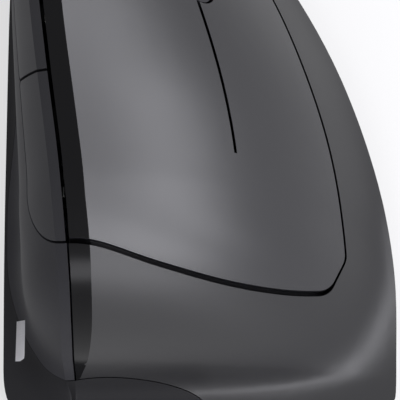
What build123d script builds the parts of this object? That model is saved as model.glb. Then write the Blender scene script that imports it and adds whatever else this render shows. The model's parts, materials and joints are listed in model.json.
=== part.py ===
from build123d import *

import os
from math import comb, pi

# Vertical ergonomic mouse. +X is the finger side, +Y the front, +Z up, origin at the
# bottom centre of the bounding box. Millimetres.

# Driving dimensions of the body
body_length = 120.0
body_width = 75.0
body_height = 63.0
foot_height = 0.6
wall = 2.2
floor = 2.0
rim_height = 1.0
parting_gap = 0.15
overrun = 20.0
shelf_depth = 1.6

# Facets beside the ridge
strip_width = 3.8
strip_drop = 0.7
bevel_width = 2.2
bevel_drop = 1.6

# Gaps that divide the panels
ridge_gap = 0.7
ridge_gap_rear = 0.35
rear_gap = 1.0
side_gap = 0.4
slit_width = 0.5
button_gap = 0.45
front_gap = 1.2
root_gap = 0.04

os.makedirs("parts", exist_ok=True)


def share_curve(shares):
    """Return a smooth curve without overshoot through a table of (station, value) shares."""
    spans = [(b[0] - a[0]) for a, b in zip(shares, shares[1:])]
    slopes = [(b[1] - a[1]) / span for a, b, span in zip(shares, shares[1:], spans)]
    tangents = [slopes[0]]
    for before, after, s0, s1 in zip(spans, spans[1:], slopes, slopes[1:]):
        if s0 * s1 <= 0:
            tangents.append(0)
        else:
            w0 = 2 * after + before
            w1 = after + 2 * before
            tangents.append((w0 + w1) / (w0 / s0 + w1 / s1))
    tangents.append(slopes[-1])

    def value(station):
        k = 0
        while k < len(spans) - 1 and station > shares[k + 1][0]:
            k += 1
        t = (station - shares[k][0]) / spans[k]
        rise = (3 - 2 * t) * t**2
        return (
            (1 - rise) * shares[k][1]
            + rise * shares[k + 1][1]
            + t * (1 - t) ** 2 * spans[k] * tangents[k]
            + t**2 * (t - 1) * spans[k] * tangents[k + 1]
        )

    return value


# Rails of the outer skin. Each row is a station as a share of the length, rear to front,
# and a place as a share of the body's width (x) or height (z).
ridge_x_shares = [
    (-0.52, -0.315), (-0.417, -0.313), (-0.377, -0.309), (-0.337, -0.305), (-0.283, -0.304),
    (-0.217, -0.308), (-0.117, -0.321), (0.017, -0.348), (0.167, -0.376), (0.317, -0.393),
    (0.417, -0.39), (0.45, -0.372), (0.475, -0.338), (0.49, -0.3), (0.505, -0.26),
]
ridge_z_shares = [
    (-0.52, 0.11), (-0.45, 0.13), (-0.417, 0.16), (-0.397, 0.245), (-0.377, 0.43),
    (-0.337, 0.63), (-0.283, 0.79), (-0.217, 0.9), (-0.117, 0.975), (0.017, 1.0),
    (0.167, 0.975), (0.317, 0.905), (0.417, 0.83), (0.45, 0.785), (0.475, 0.73),
    (0.49, 0.67), (0.505, 0.57),
]
strip_shares = [
    (-0.52, 0.08), (-0.417, 0.08), (-0.397, 0.25), (-0.377, 0.68), (-0.337, 0.92),
    (-0.25, 1.0), (0.25, 0.9), (0.417, 0.8), (0.505, 0.4),
]
bevel_shares = [
    (-0.52, 0.2), (-0.417, 0.4), (-0.397, 0.85), (-0.337, 1.0), (0.25, 0.95), (0.417, 0.85), (0.505, 0.4),
]
foot_x_shares = [
    (-0.52, 0.0), (-0.467, 0.107), (-0.417, 0.187), (-0.367, 0.287), (-0.317, 0.34),
    (-0.233, 0.377), (-0.1, 0.371), (0.017, 0.34), (0.117, 0.28), (0.217, 0.193),
    (0.317, 0.1), (0.4, 0.005), (0.45, -0.075), (0.475, -0.14), (0.49, -0.185), (0.505, -0.235),
]
foot_z_shares = [
    (-0.52, 0.098), (-0.417, 0.114), (-0.333, 0.137), (-0.167, 0.143), (0.0, 0.137), (0.25, 0.127), (0.505, 0.119),
]
edge_x_shares = [
    (-0.52, 0.587), (-0.167, 0.587), (0.0, 0.56), (0.167, 0.48), (0.333, 0.347), (0.505, 0.16),
]
edge_z_shares = [
    (-0.52, 0.08), (-0.417, 0.089), (-0.25, 0.1), (0.0, 0.1), (0.25, 0.095), (0.505, 0.089),
]
bulge_x_shares = [
    (-0.52, -0.347), (-0.433, -0.341), (-0.396, -0.347), (-0.342, -0.404), (-0.288, -0.456),
    (-0.225, -0.472), (-0.133, -0.473), (0.017, -0.48), (0.167, -0.485), (0.333, -0.478),
    (0.417, -0.447), (0.45, -0.42), (0.475, -0.375), (0.49, -0.335), (0.505, -0.29),
]
bulge_z_shares = [
    (-0.52, 0.11), (-0.417, 0.152), (-0.396, 0.206), (-0.342, 0.333), (-0.288, 0.437),
    (-0.225, 0.508), (-0.133, 0.563), (0.017, 0.587), (0.167, 0.587), (0.333, 0.556), (0.505, 0.49),
]
groove_x_shares = [
    (-0.52, -0.413), (-0.417, -0.393), (-0.367, -0.392), (-0.317, -0.408), (-0.25, -0.427),
    (-0.133, -0.424), (0.017, -0.421), (0.333, -0.42), (0.417, -0.415), (0.45, -0.395),
    (0.475, -0.355), (0.49, -0.318), (0.505, -0.275),
]
groove_z_shares = [
    (-0.52, 0.105), (-0.417, 0.13), (-0.367, 0.167), (-0.317, 0.206), (-0.25, 0.246),
    (-0.133, 0.286), (0.1, 0.3), (0.333, 0.286), (0.505, 0.254),
]
ledge_z_shares = [
    (-0.52, 0.086), (-0.417, 0.102), (-0.25, 0.12), (0.0, 0.127), (0.25, 0.12), (0.505, 0.11),
]
ledge_x_share = -0.493
flange_x_share = -0.587
flange_drop_share = 0.01

ridge_x = share_curve(ridge_x_shares)
ridge_z = share_curve(ridge_z_shares)
strip_share = share_curve(strip_shares)
bevel_share = share_curve(bevel_shares)
foot_x = share_curve(foot_x_shares)
foot_z = share_curve(foot_z_shares)
edge_x = share_curve(edge_x_shares)
edge_z = share_curve(edge_z_shares)
bulge_x = share_curve(bulge_x_shares)
bulge_z = share_curve(bulge_z_shares)
groove_x = share_curve(groove_x_shares)
groove_z = share_curve(groove_z_shares)
ledge_z = share_curve(ledge_z_shares)

# Pull of the inner control points: shares of the rise and run of each side
finger_pull_shares = [(0.26, 0.9), (0.62, 0.78), (1.0, 0.46), (1.0, -0.03)]
thumb_pull_shares = (0.62, 0.42, 0.55)
edge_pull_shares = (0.35, 0.15)

station_shares = [
    -0.51, -0.47, -0.44, -0.42, -0.408, -0.396, -0.386, -0.376, -0.36, -0.337, -0.3, -0.25, -0.2, -0.13,
    -0.05, 0.03, 0.11, 0.19, 0.26, 0.32, 0.37, 0.41, 0.44, 0.465, 0.482, 0.495, 0.505,
]


def finger_controls(s):
    """Control points, as (x, z), of the finger side at a station, from the facet to the flange."""
    start_x = ridge_x(s) * body_width + strip_width * strip_share(s)
    start_z = ridge_z(s) * body_height - strip_drop * strip_share(s)
    end_x = foot_x(s) * body_width
    end_z = foot_z(s) * body_height
    rim_x = edge_x(s) * body_width
    rim_z = edge_z(s) * body_height
    points = [(start_x, start_z)]
    for across, up in finger_pull_shares:
        points.append((start_x + across * (end_x - start_x), end_z + up * (start_z - end_z)))
    across, up = edge_pull_shares
    points.append((end_x + across * (rim_x - end_x), rim_z + up * (end_z - rim_z)))
    points.append((rim_x, rim_z))
    return points


def thumb_controls(s):
    """Control points, as (x, z), of the thumb side at a station, from the bevel to the flange."""
    start_x = ridge_x(s) * body_width - bevel_width * bevel_share(s)
    start_z = ridge_z(s) * body_height - bevel_drop * bevel_share(s)
    out_x = bulge_x(s) * body_width
    out_z = bulge_z(s) * body_height
    in_x = groove_x(s) * body_width
    in_z = groove_z(s) * body_height
    low_z = ledge_z(s) * body_height
    across, up, swell = thumb_pull_shares
    return [
        (start_x, start_z),
        (start_x + across * (out_x - start_x), start_z + up * (out_z - start_z)),
        (out_x + swell * (out_x - in_x), out_z),
        (in_x - swell * (out_x - in_x), in_z),
        (in_x, low_z),
        (ledge_x_share * body_width, low_z),
        (flange_x_share * body_width, low_z - flange_drop_share * body_height),
    ]


def curve_point(controls, t):
    """Point and slope of the curve with these control points at t from 0 to 1."""
    n = len(controls) - 1
    x = sum(comb(n, k) * (1 - t) ** (n - k) * t**k * p[0] for k, p in enumerate(controls))
    z = sum(comb(n, k) * (1 - t) ** (n - k) * t**k * p[1] for k, p in enumerate(controls))
    steps = [(b[0] - a[0], b[1] - a[1]) for a, b in zip(controls, controls[1:])]
    dx = sum(comb(n - 1, k) * (1 - t) ** (n - 1 - k) * t**k * p[0] for k, p in enumerate(steps))
    dz = sum(comb(n - 1, k) * (1 - t) ** (n - 1 - k) * t**k * p[1] for k, p in enumerate(steps))
    size = (dx**2 + dz**2) ** 0.5
    return x, z, dx / size, dz / size


def skin_z(x, y):
    """Height of the finger side's outer skin above a place in plan."""
    controls = finger_controls(y / body_length)
    low, high = 0.0, 1.0
    for _ in range(40):
        middle = (low + high) / 2
        if curve_point(controls, middle)[0] < x:
            low = middle
        else:
            high = middle
    return curve_point(controls, low)[1]


inset_rounds = 25
inset_least_rise = 0.6
shift_shares = [
    (-0.51, 1.0), (-0.36, 0.95), (-0.3, 0.6), (-0.2, 0.1), (-0.1, 0.0), (0.35, 0.0), (0.42, -0.6), (0.505, -1.0),
]
shift = share_curve(shift_shares)
hollow_span_shares = (-0.39, 0.45)
shelf_span_shares = (-0.37, 0.05)


def inset_controls(controls, depth, side, bottom):
    """Control points of a side's curve moved inwards by a depth, as far as it stays above the bottom."""
    def moved(t):
        x, z, dx, dz = curve_point(controls, t)
        return x + side * dz * depth, z - side * dx * depth

    low, high = 0.3, 1.0
    for _ in range(30):
        middle = (low + high) / 2
        if moved(middle)[1] > bottom + inset_least_rise:
            low = middle
        else:
            high = middle
    n = len(controls) - 1
    targets = [moved(low * k / n) for k in range(n + 1)]
    points = list(targets)
    for _ in range(inset_rounds):
        reached = [curve_point(points, k / n) for k in range(n + 1)]
        points = [(p[0] + t[0] - r[0], p[1] + t[1] - r[1]) for p, t, r in zip(points, targets, reached)]
    return points


def section(s, y, depth, bottom):
    """Closed outline of the body at a station: the outer skin, or the skin moved inwards by a depth."""
    fingers = inset_controls(finger_controls(s), depth, 1, bottom) if depth else finger_controls(s)
    thumb = inset_controls(thumb_controls(s), depth, -1, bottom) if depth else thumb_controls(s)
    top = [] if depth else [(ridge_x(s) * body_width, ridge_z(s) * body_height)]
    with BuildSketch(Plane.XZ.offset(-y)) as outline:
        with BuildLine():
            Bezier(*fingers)
            Bezier(*thumb)
            Polyline(thumb[0], *top, fingers[0])
            Polyline(fingers[-1], (fingers[-1][0], bottom), (thumb[-1][0], bottom), thumb[-1])
        make_face()
    return outline.sketch


def hollow_sections(depth, bottom, rear_share, front_share):
    """Sections of the space that lies a depth inside the skin, between two stations."""
    return [
        section(s, s * body_length + depth * shift(s), depth, bottom)
        for s in station_shares
        if rear_share < s < front_share
    ]


# Plan outline of the body, as shares of the width and the length
outline_shares = [
    (0.4985, -0.367), (0.498, -0.258), (0.4827, -0.1667), (0.448, -0.0708), (0.3973, 0.0233), (0.3333, 0.1167),
    (0.248, 0.2117), (0.1413, 0.3083), (0.0347, 0.3917), (-0.0533, 0.4442), (-0.1467, 0.4800), (-0.25, 0.4975),
    (-0.3467, 0.4908), (-0.4267, 0.4458), (-0.472, 0.3583), (-0.488, 0.2333), (-0.4933, 0.0417),
    (-0.4973, -0.1667), (-0.4985, -0.367), (-0.488, -0.425), (-0.44, -0.465), (-0.32, -0.4908), (-0.1333, -0.4998),
    (0.08, -0.4998), (0.2667, -0.4933), (0.408, -0.4683), (0.48, -0.4267),
]

# Lines on the panels in plan, rear to front, as shares of the width and the length
slit_shares = [
    (0.085, -0.0817), (0.052, 0.0275), (0.0107, 0.1192), (-0.0533, 0.2333), (-0.12, 0.3333), (-0.18, 0.4167),
    (-0.235, 0.505),
]
side_line_shares = [
    (0.364, -0.215), (0.36, -0.184), (0.3467, -0.1233), (0.328, -0.0625), (0.3013, -0.0008), (0.268, 0.0608),
    (0.2293, 0.125), (0.1827, 0.19), (0.12, 0.2583), (0.0333, 0.3417), (-0.06, 0.4167), (-0.1733, 0.4917),
]
rear_line_shares = [
    (-0.3107, -0.2233), (-0.256, -0.2242), (-0.14, -0.2425), (-0.0467, -0.2567), (0.048, -0.2683),
    (0.1453, -0.275), (0.2267, -0.2758), (0.3213, -0.2683),
]
rear_parting_shares = [
    (-0.3133, -0.4), (-0.212, -0.396), (-0.1507, -0.3983), (-0.1, -0.4025), (-0.0507, -0.41), (0.0, -0.425),
    (0.03, -0.45), (0.045, -0.52),
]
panel_corner_radius = 4.0
root_line_share = slit_shares[0][1]
root_y = root_line_share * body_length
cover_low_share = 0.15
key_low_share = 0.2


def in_plan(shares):
    """Places in plan from shares of the width and the length."""
    return [(x * body_width, y * body_length) for x, y in shares]


def moved_aside(places, gap, closed=False):
    """Places of a line moved by a gap to the left of its run."""
    before = (places[-1:] if closed else places[:1]) + places[:-1]
    after = places[1:] + (places[:1] if closed else places[-1:])
    moved = []
    for start, here, end in zip(before, places, after):
        run_x, run_y = end[0] - start[0], end[1] - start[1]
        run = (run_x**2 + run_y**2) ** 0.5
        moved.append((here[0] - gap * run_y / run, here[1] + gap * run_x / run))
    return moved


bottom_z = foot_height
floor_z = foot_height + floor
rim_z = floor_z + rim_height

with BuildSketch(Plane.XY.offset(bottom_z)) as plan:
    with BuildLine():
        Spline(*in_plan(outline_shares + outline_shares[:1]), tangents=[(0, 1), (0, 1)])
    make_face()

with BuildPart() as skin:
    loft([section(s, s * body_length, 0, bottom_z) for s in station_shares])
    with BuildSketch(Plane.XY) as skin_plan:
        add(plan.sketch)
    extrude(amount=body_height + overrun, mode=Mode.INTERSECT)


with BuildPart() as hollow:
    loft(hollow_sections(wall, floor_z, *hollow_span_shares))
    with BuildSketch(Plane.XY) as hollow_plan:
        with BuildLine():
            inner_places = moved_aside(in_plan(outline_shares), wall, closed=True)
            Spline(*inner_places, inner_places[0], tangents=[(0, 1), (0, 1)])
        make_face()
    extrude(amount=body_height + overrun, mode=Mode.INTERSECT)

with BuildPart() as deep_hollow:
    loft(hollow_sections(wall + shelf_depth, floor_z, *shelf_span_shares))

with BuildPart() as shell:
    add(skin.part)
    add(hollow.part, mode=Mode.SUBTRACT)


top_z = body_height + overrun
far_x = body_width
far_y = body_length


def keep(piece, name):
    """Label a finished piece and write it."""
    piece.label = name
    export_step(piece, f"parts/{name}.step")


# Regions that divide the shell
ridge_span_shares = (-0.52, 0.505)
ridge_steps = 26
flange_part_shares = [(-0.6, 0.215), (-0.405, 0.21), (-0.35, 0.17), (-0.29, 0.15), (-0.2, 0.14), (0.6, 0.14)]
rear_part_height = 17.0


def beside_ridge(side, gap, start_share=-1.0, end_share=1.0):
    """Space on one side of the ridge, a gap away from it, between two stations."""
    first, last = ridge_span_shares
    stations = [first + (last - first) * k / (ridge_steps - 1) for k in range(ridge_steps)]
    line = [(ridge_x(s) * body_width + side * gap, s * body_length) for s in stations]
    with BuildPart() as space:
        with BuildSketch(Plane.XY):
            with BuildLine():
                Spline(*line)
                Polyline(line[-1], (line[-1][0], far_y), (side * far_x, far_y), (side * far_x, -far_y),
                         (line[0][0], -far_y), line[0])
            make_face()
            with Locations((0, (start_share + end_share) / 2 * body_length)):
                Rectangle(2 * far_x, (end_share - start_share) * body_length, mode=Mode.INTERSECT)
        extrude(amount=top_z)
    return space.part


def base_space(gap):
    """Space of the base shell, grown by a gap: the floor, the thumb flange and the rear flange."""
    with BuildPart() as space:
        with BuildSketch(Plane.XY):
            Rectangle(2 * far_x, 2 * far_y)
        extrude(amount=rim_z + gap)
        line = [(y * body_length, z * body_height + gap) for y, z in flange_part_shares]
        with BuildSketch(Plane.YZ.offset(-far_x)):
            with BuildLine():
                Spline(*line)
                Polyline(line[-1], (line[-1][0], 0), (line[0][0], 0), line[0])
            make_face()
        extrude(amount=far_x + ridge_x(flange_part_shares[1][0]) * body_width + gap)
        rear = moved_aside(in_plan(rear_parting_shares), gap)
        with BuildSketch(Plane.XY):
            with BuildLine():
                Spline(*rear)
                Polyline(rear[-1], (-far_x, rear[-1][1]), (-far_x, rear[0][1]), rear[0])
            make_face()
        extrude(amount=rear_part_height)
    return space.part


def panel_space(side):
    """Space over the finger panel in plan: side is 1 for the panel itself, -1 for its window."""
    rear = [(x, y + side * rear_gap / 2) for x, y in in_plan(rear_line_shares)]
    flank = [(x - side * side_gap / 2, y) for x, y in in_plan(side_line_shares)]
    with BuildPart() as space:
        with BuildSketch(Plane.XY) as outline:
            with BuildLine():
                Spline(*rear)
                Spline(*flank)
                Line(rear[-1], flank[0])
                Polyline(flank[-1], (flank[-1][0], far_y), (-far_x, far_y), (-far_x, rear[0][1]), rear[0])
            make_face()
            fillet(outline.vertices().sort_by(Axis.X)[-2:], panel_corner_radius)
        extrude(amount=top_z)
    return space.part


def button_space(rear_share, front_share, rear_radius, front_radius, gap):
    """Space of a thumb button in side view, grown by a gap."""
    rear_y = rear_share * body_length - gap
    front_y = front_share * body_length + gap
    places = [rear_y + (front_y - rear_y) * k / button_steps for k in range(button_steps + 1)]
    low = [(y, ridge_z(y / body_length) * body_height - button_drop - gap) for y in places]
    with BuildPart() as space:
        with BuildSketch(Plane.YZ.offset(-far_x)) as outline:
            with BuildLine():
                Spline(*low)
                Polyline(low[-1], (low[-1][0], top_z), (low[0][0], top_z), low[0])
            make_face()
            corners = outline.vertices().sort_by(Axis.Y)[:2].sort_by(Axis.X)
            fillet(corners[0], rear_radius + gap)
            fillet(outline.vertices().sort_by(Axis.Y)[:3].sort_by(Axis.X)[-1], front_radius + gap)
        extrude(amount=far_x)
    return space.part


# Key plane: it touches the skin where the scroll wheel stands, its x runs across the
# panel, its y along the wheel's slot to the front and its z out of the panel
wheel_place_shares = (-0.096, 0.3)
probe = 0.5
wheel_x, wheel_y = in_plan([wheel_place_shares])[0]
skin_slope_x = (skin_z(wheel_x + probe, wheel_y) - skin_z(wheel_x - probe, wheel_y)) / (2 * probe)
skin_slope_y = (skin_z(wheel_x, wheel_y + probe) - skin_z(wheel_x, wheel_y - probe)) / (2 * probe)
out_of_panel = Vector(-skin_slope_x, -skin_slope_y, 1).normalized()
slit_rear, slit_front = in_plan([slit_shares[3], slit_shares[5]])
slot_run = Vector(slit_front[0] - slit_rear[0], slit_front[1] - slit_rear[1], 0)
across_panel = slot_run.cross(out_of_panel).normalized()
key_plane = Plane(origin=(wheel_x, wheel_y, skin_z(wheel_x, wheel_y)), x_dir=across_panel, z_dir=out_of_panel)

# Wheel, its yoke and the slot
wheel_radius = 10.0
wheel_width = 5.8
wheel_proud = 3.0
tyre_thickness = 1.8
tyre_groove = 0.5
tyre_ribs = 24
axle_radius = 1.2
running_gap = 0.05
wheel_depth = wheel_radius - wheel_proud
slot_width = 7.4
slot_rear = 20.2
slot_front = 10.2
arm_thickness = 1.6
arm_gap = 0.5
arm_half_height = 1.8
yoke_rear = 13.6
yoke_front = 12.6
yoke_bar = 1.8
pivot_back = 12.5
pivot_radius = 1.0
ear_thickness = 1.8
ear_gap = 0.25
ear_half_length = 1.9
ear_rise = 1.9
nose_reach = 16.0
nose_width = 4.0
nose_thickness = 1.4
encoder_thickness = 3.0
encoder_size = 5.6
encoder_drop = 1.8

# Boards and switches in the key plane
board_thickness = 1.2
key_board_depth = 12.0
key_board_left = 15.5
key_board_right = 19.0
key_board_rear = 24.0
key_board_front = 18.0
key_board_corner = 10.0
frame_depth = key_board_depth + board_thickness + 2.0
frame_thickness = 2.0
frame_left = 12.0
frame_right = 18.0
frame_rear = 17.0
frame_front = 11.0
post_radius = 1.8
press_gap = 0.05
switch_width = 5.8
switch_length = 12.8
switch_height = 6.5
plunger_width = 1.6
plunger_length = 3.0
plunger_rise = 0.7
plunger_offset = 2.5
left_switch_place = (-11.5, 3.0)
right_switch_place = (12.0, 3.0)
tact_size = 6.0
tact_height = 2.8
tact_plunger_radius = 1.6
tact_plunger_rise = 0.8
click_switch_along = 14.5
resolution_along = -15.9
rib_width = 3.0
key_depth = 13.0

# Resolution button
resolution_length = 7.6
resolution_width = 6.4
resolution_recess = 0.5
resolution_cap = 2.6
resolution_stem_radius = 1.2

# Thumb buttons: stations of their rear and front ends, in side view
button_drop = 11.5
button_steps = 6
button_corner = 1.0
back_button_shares = (-0.223, 0.0165)
forward_button_shares = (0.0205, 0.245)
back_button_radius = 7.0
forward_button_radius = 5.0
button_ridge_gap = ridge_gap / 2

# Main board
board_z = 6.4
board_top_z = board_z + board_thickness
standoff_radius = 2.6
screw_radius = 1.0
screw_hole_radius = 1.15
screw_head_radius = 1.9
screw_head_height = 1.1
screw_recess = 0.2
frame_screw_length = 12.0
case_screw_length = 9.0
boss_radius = 2.6
boss_height = 9.4
thumb_boss_height = 15.4
screw_head_gap = 0.2

# Battery bay and door
cell_radius = 5.25
cell_length = 44.5
cell_nub_radius = 2.7
cell_nub_length = 1.0
cell_pitch = 11.0
cell_gap = 0.3
spring_length = 2.6
spring_radius = 2.6
spring_wire_radius = 0.3
spring_turns = 3
contact_thickness = 0.4
contact_size = 8.0
bay_left = -28.0
bay_centre_y = -25.1
bay_wall = 1.2
bay_wall_height = 7.0
door_thickness = 1.5
door_recess = 0.1
door_gap = 0.2
door_pin_radius = 0.55
door_pin_length = 1.0

# Receiver and its bay
receiver_plug_length = 12.1
receiver_plug_width = 12.0
receiver_plug_height = 4.5
receiver_cap_length = 6.5
receiver_cap_width = 14.4
receiver_cap_height = 6.0
receiver_gap = 0.3
receiver_x = -16.8
receiver_y = -5.0
receiver_lift = 0.4

keys_rear_y = root_y + root_gap / 2
cover_front_y = root_y - root_gap / 2
cover_low_z = cover_low_share * body_height


def across_body(y_low, y_high, z_low=0):
    """Space between two places along the body, above a height."""
    with BuildPart() as space:
        with BuildSketch(Plane.XY.offset(z_low)):
            with Locations((0, (y_low + y_high) / 2)):
                Rectangle(2 * far_x, y_high - y_low)
        extrude(amount=top_z)
    return space.part


def key_slab(depth):
    """Space on the outer side of a plane that lies a depth under the key plane."""
    with BuildPart() as slab:
        with BuildSketch(key_plane.offset(-depth)):
            Rectangle(2 * far_y, 2 * far_y)
        extrude(amount=2 * top_z)
    return slab.part


def over_front(depth):
    """Space of the keys or of their window: all heights at the rear, the key plane's slab at the front."""
    with BuildPart() as space:
        add(key_slab(depth))
        add(across_body(-far_y, key_low_share * body_length, cover_low_z))
    return space.part


with BuildPart() as slot_space:
    with BuildSketch(key_plane.offset(-key_depth)):
        with Locations((0, (slot_front - slot_rear) / 2)):
            SlotOverall(slot_front + slot_rear, slot_width, rotation=90)
    extrude(amount=2 * key_depth)

with BuildPart() as slit_space:
    with BuildSketch(Plane.XY):
        with BuildLine():
            Spline(*in_plan(slit_shares))
        trace(line_width=slit_width)
    extrude(amount=top_z)

with BuildPart() as panel_plate:
    add(shell.part)
    add(panel_space(1), mode=Mode.INTERSECT)
    add(beside_ridge(1, ridge_gap / 2), mode=Mode.INTERSECT)
    add(slit_space.part, mode=Mode.SUBTRACT)


def in_hollow(plane, places, width, length, reach):
    """Ribs that rise from a plane to the inner face of the shell."""
    with BuildPart() as ribs:
        with BuildSketch(plane):
            with Locations(places):
                Rectangle(width, length)
        extrude(amount=reach)
        add(hollow.part, mode=Mode.INTERSECT)
    return ribs.part


def round_in_hollow(plane, places, radius, reach):
    """Round posts that rise from a plane to the inner face of the shell."""
    with BuildPart() as posts:
        with BuildSketch(plane):
            with Locations(places):
                Circle(radius)
        extrude(amount=reach)
        add(hollow.part, mode=Mode.INTERSECT)
    return posts.part


def switch_plunger_place(place):
    """Place of a key switch's plunger in the key plane."""
    return (place[0], place[1] + plunger_offset)


plunger_top_depth = key_board_depth - switch_height - plunger_rise
rib_depth = plunger_top_depth - press_gap

with BuildPart() as key_cover:
    add(panel_plate.part)
    add(across_body(-far_y, cover_front_y, cover_low_z), mode=Mode.INTERSECT)
keep(key_cover.part, "key_cover")

with BuildPart() as both_keys:
    add(panel_plate.part)
    add(across_body(keys_rear_y, far_y), mode=Mode.INTERSECT)
    add(over_front(key_depth), mode=Mode.INTERSECT)
    add(slot_space.part, mode=Mode.SUBTRACT)
left_side, right_side = both_keys.solids().sort_by(SortBy.VOLUME)[-2:].sort_by(Axis.X)

with BuildPart() as left_key:
    add(left_side)
    add(in_hollow(key_plane.offset(-rib_depth), [switch_plunger_place(left_switch_place)], rib_width, rib_width,
                  key_depth))
keep(left_key.part, "left_key")

with BuildPart() as right_key:
    add(right_side)
    add(in_hollow(key_plane.offset(-rib_depth), [switch_plunger_place(right_switch_place)], rib_width, rib_width,
                  key_depth))
keep(right_key.part, "right_key")

with BuildPart() as window:
    add(over_front(key_depth + front_gap))
    add(panel_space(-1), mode=Mode.INTERSECT)

# Shelf that carries the key cover: it lies under the rear and the side of the panel's edge
shelf_reach = 3.0
shelf_front_y = root_y - shelf_reach
with BuildPart() as shelf:
    add(hollow.part)
    add(deep_hollow.part, mode=Mode.SUBTRACT)
    with BuildSketch(Plane.XY) as shelf_plan:
        with BuildLine():
            Spline(*in_plan(rear_line_shares))
            Line(in_plan(rear_line_shares)[-1], in_plan(side_line_shares)[0])
            Spline(*in_plan(side_line_shares[:4]))
        trace(line_width=2 * shelf_reach)
    extrude(amount=top_z, mode=Mode.INTERSECT)
    add(across_body(-far_y, shelf_front_y, cover_low_z), mode=Mode.INTERSECT)
    add(beside_ridge(1, ridge_gap_rear / 2), mode=Mode.INTERSECT)

# Places of the case screws, as shares of the width and the length: two under the palm, one at
# the nose, and one in the thumb shell
tall_boss_shares = [(0.187, -0.344), (-0.16, -0.344)]
nose_boss_shares = [(-0.1133, 0.41)]
thumb_boss_shares = [(-0.384, 0.1)]
case_screw_places = in_plan(tall_boss_shares + nose_boss_shares + thumb_boss_shares)


def case_screw_holes():
    """Pilot holes of the case screws."""
    with BuildPart() as holes:
        with BuildSketch(Plane.XY.offset(floor_z)):
            with Locations(case_screw_places):
                Circle(screw_radius)
        extrude(amount=case_screw_length - floor)
    return holes.part


with BuildPart() as finger_shell:
    add(shell.part)
    add(beside_ridge(1, ridge_gap_rear / 2), mode=Mode.INTERSECT)
    add(base_space(parting_gap), mode=Mode.SUBTRACT)
    add(window.part, mode=Mode.SUBTRACT)
    add(shelf.part)
    add(round_in_hollow(Plane.XY.offset(floor_z), in_plan(tall_boss_shares), boss_radius, top_z))
    add(round_in_hollow(Plane.XY.offset(floor_z), in_plan(nose_boss_shares), boss_radius, boss_height))
    add(case_screw_holes(), mode=Mode.SUBTRACT)
keep(finger_shell.part, "finger_shell")

# Thumb side
side_board_x = -23.9
side_board_low_z = 43.0
side_board_step_z = 49.5
side_board_high_z = 56.0
side_board_rear_y = -16.0
side_board_step_y = 13.0
side_board_front_y = 20.5
side_switch_height = 2.8
side_switch_width = 4.0
side_switch_length = 6.6
side_plunger_width = 1.6
side_plunger_length = 2.4
side_plunger_rise = 0.8
side_post_radius = 1.8
side_post_places = [(-14.0, 45.5), (5.0, 45.5)]
back_switch_place = (-6.0, 52.2)
forward_switch_place = (14.0, 52.6)
side_plunger_x = side_board_x - side_switch_height - side_plunger_rise
side_plane = Plane(origin=(side_board_x, 0, 0), x_dir=(0, -1, 0), z_dir=(-1, 0, 0))


def side_place(place):
    """Place on the side board's plane from a place along the body and a height."""
    return (-place[0], place[1])


def thumb_button(shares, rear_radius, front_radius, switch_place):
    """A thumb button with the rib that presses its switch."""
    with BuildPart() as button:
        add(shell.part)
        add(beside_ridge(-1, button_ridge_gap), mode=Mode.INTERSECT)
        add(button_space(*shares, rear_radius, front_radius, 0), mode=Mode.INTERSECT)
        add(in_hollow(side_plane.offset(side_board_x - side_plunger_x + press_gap), [side_place(switch_place)],
                      rib_width, rib_width, key_depth))
    return button.part


back_button = thumb_button(back_button_shares, back_button_radius, button_corner, back_switch_place)
keep(back_button, "back_button")
forward_button = thumb_button(forward_button_shares, button_corner, forward_button_radius, forward_switch_place)
keep(forward_button, "forward_button")

with BuildPart() as thumb_shell:
    add(shell.part)
    add(beside_ridge(-1, ridge_gap_rear / 2), mode=Mode.INTERSECT)
    add(base_space(parting_gap), mode=Mode.SUBTRACT)
    add(button_space(*back_button_shares, back_button_radius, button_corner, button_gap), mode=Mode.SUBTRACT)
    add(button_space(*forward_button_shares, button_corner, forward_button_radius, button_gap),
        mode=Mode.SUBTRACT)
    add(round_in_hollow(side_plane, [side_place(p) for p in side_post_places], side_post_radius, key_depth))
    add(round_in_hollow(Plane.XY.offset(floor_z), in_plan(thumb_boss_shares), boss_radius, thumb_boss_height))
    add(case_screw_holes(), mode=Mode.SUBTRACT)
keep(thumb_shell.part, "thumb_shell")


# Base
feet_shares = [(-0.26, 0.4125), (-0.32, -0.42), (0.32, -0.42)]
feet_places = in_plan(feet_shares)
foot_length = 14.0
foot_width = 5.5
foot_pocket = 0.4
foot_gap = 0.15
frame_leg_size = 4.0
frame_leg_left = -8.0
frame_leg_right = 14.5
frame_leg_front = 6.5
frame_leg_rear = -13.0
frame_leg_places = [(x, y) for x in (frame_leg_left, frame_leg_right) for y in (frame_leg_rear, frame_leg_front)]
sensor_x = -13.0
sensor_y = 27.0
lens_window_width = 8.6
lens_window_length = 7.0
lens_plate_width = 10.0
lens_plate_length = 10.4
lens_plate_thickness = 1.2
lens_radius = 2.8
lens_recess = 0.4
lens_gap = 0.2
power_x = 12.0
power_y = 12.0
power_travel = 2.2
power_knob_width = 2.0
power_knob_length = 2.6
power_knob_recess = 0.3
power_slot_gap = 0.3
power_body_width = 3.8
power_body_length = 8.8
power_body_height = 3.0

bay_length = 2 * contact_thickness + spring_length + cell_length
bay_width = 2 * cell_radius + cell_pitch + 2 * cell_gap
bay_centre_x = bay_left + bay_length / 2
receiver_length = receiver_plug_length + receiver_cap_length
receiver_bay_length = receiver_length + 2 * receiver_gap
receiver_bay_width = receiver_cap_width + 2 * receiver_gap
door_front_y = bay_centre_y + bay_width / 2
door_pin_z = bottom_z + door_recess + door_thickness / 2

# The key plane's legs stand on the main board, over the base's standoffs
frame_low = key_plane.offset(-(frame_depth + frame_thickness))
leg_points = [frame_low.from_local_coords((x, y, 0)) for x, y in frame_leg_places]
leg_places = [(p.X, p.Y) for p in leg_points]

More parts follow.
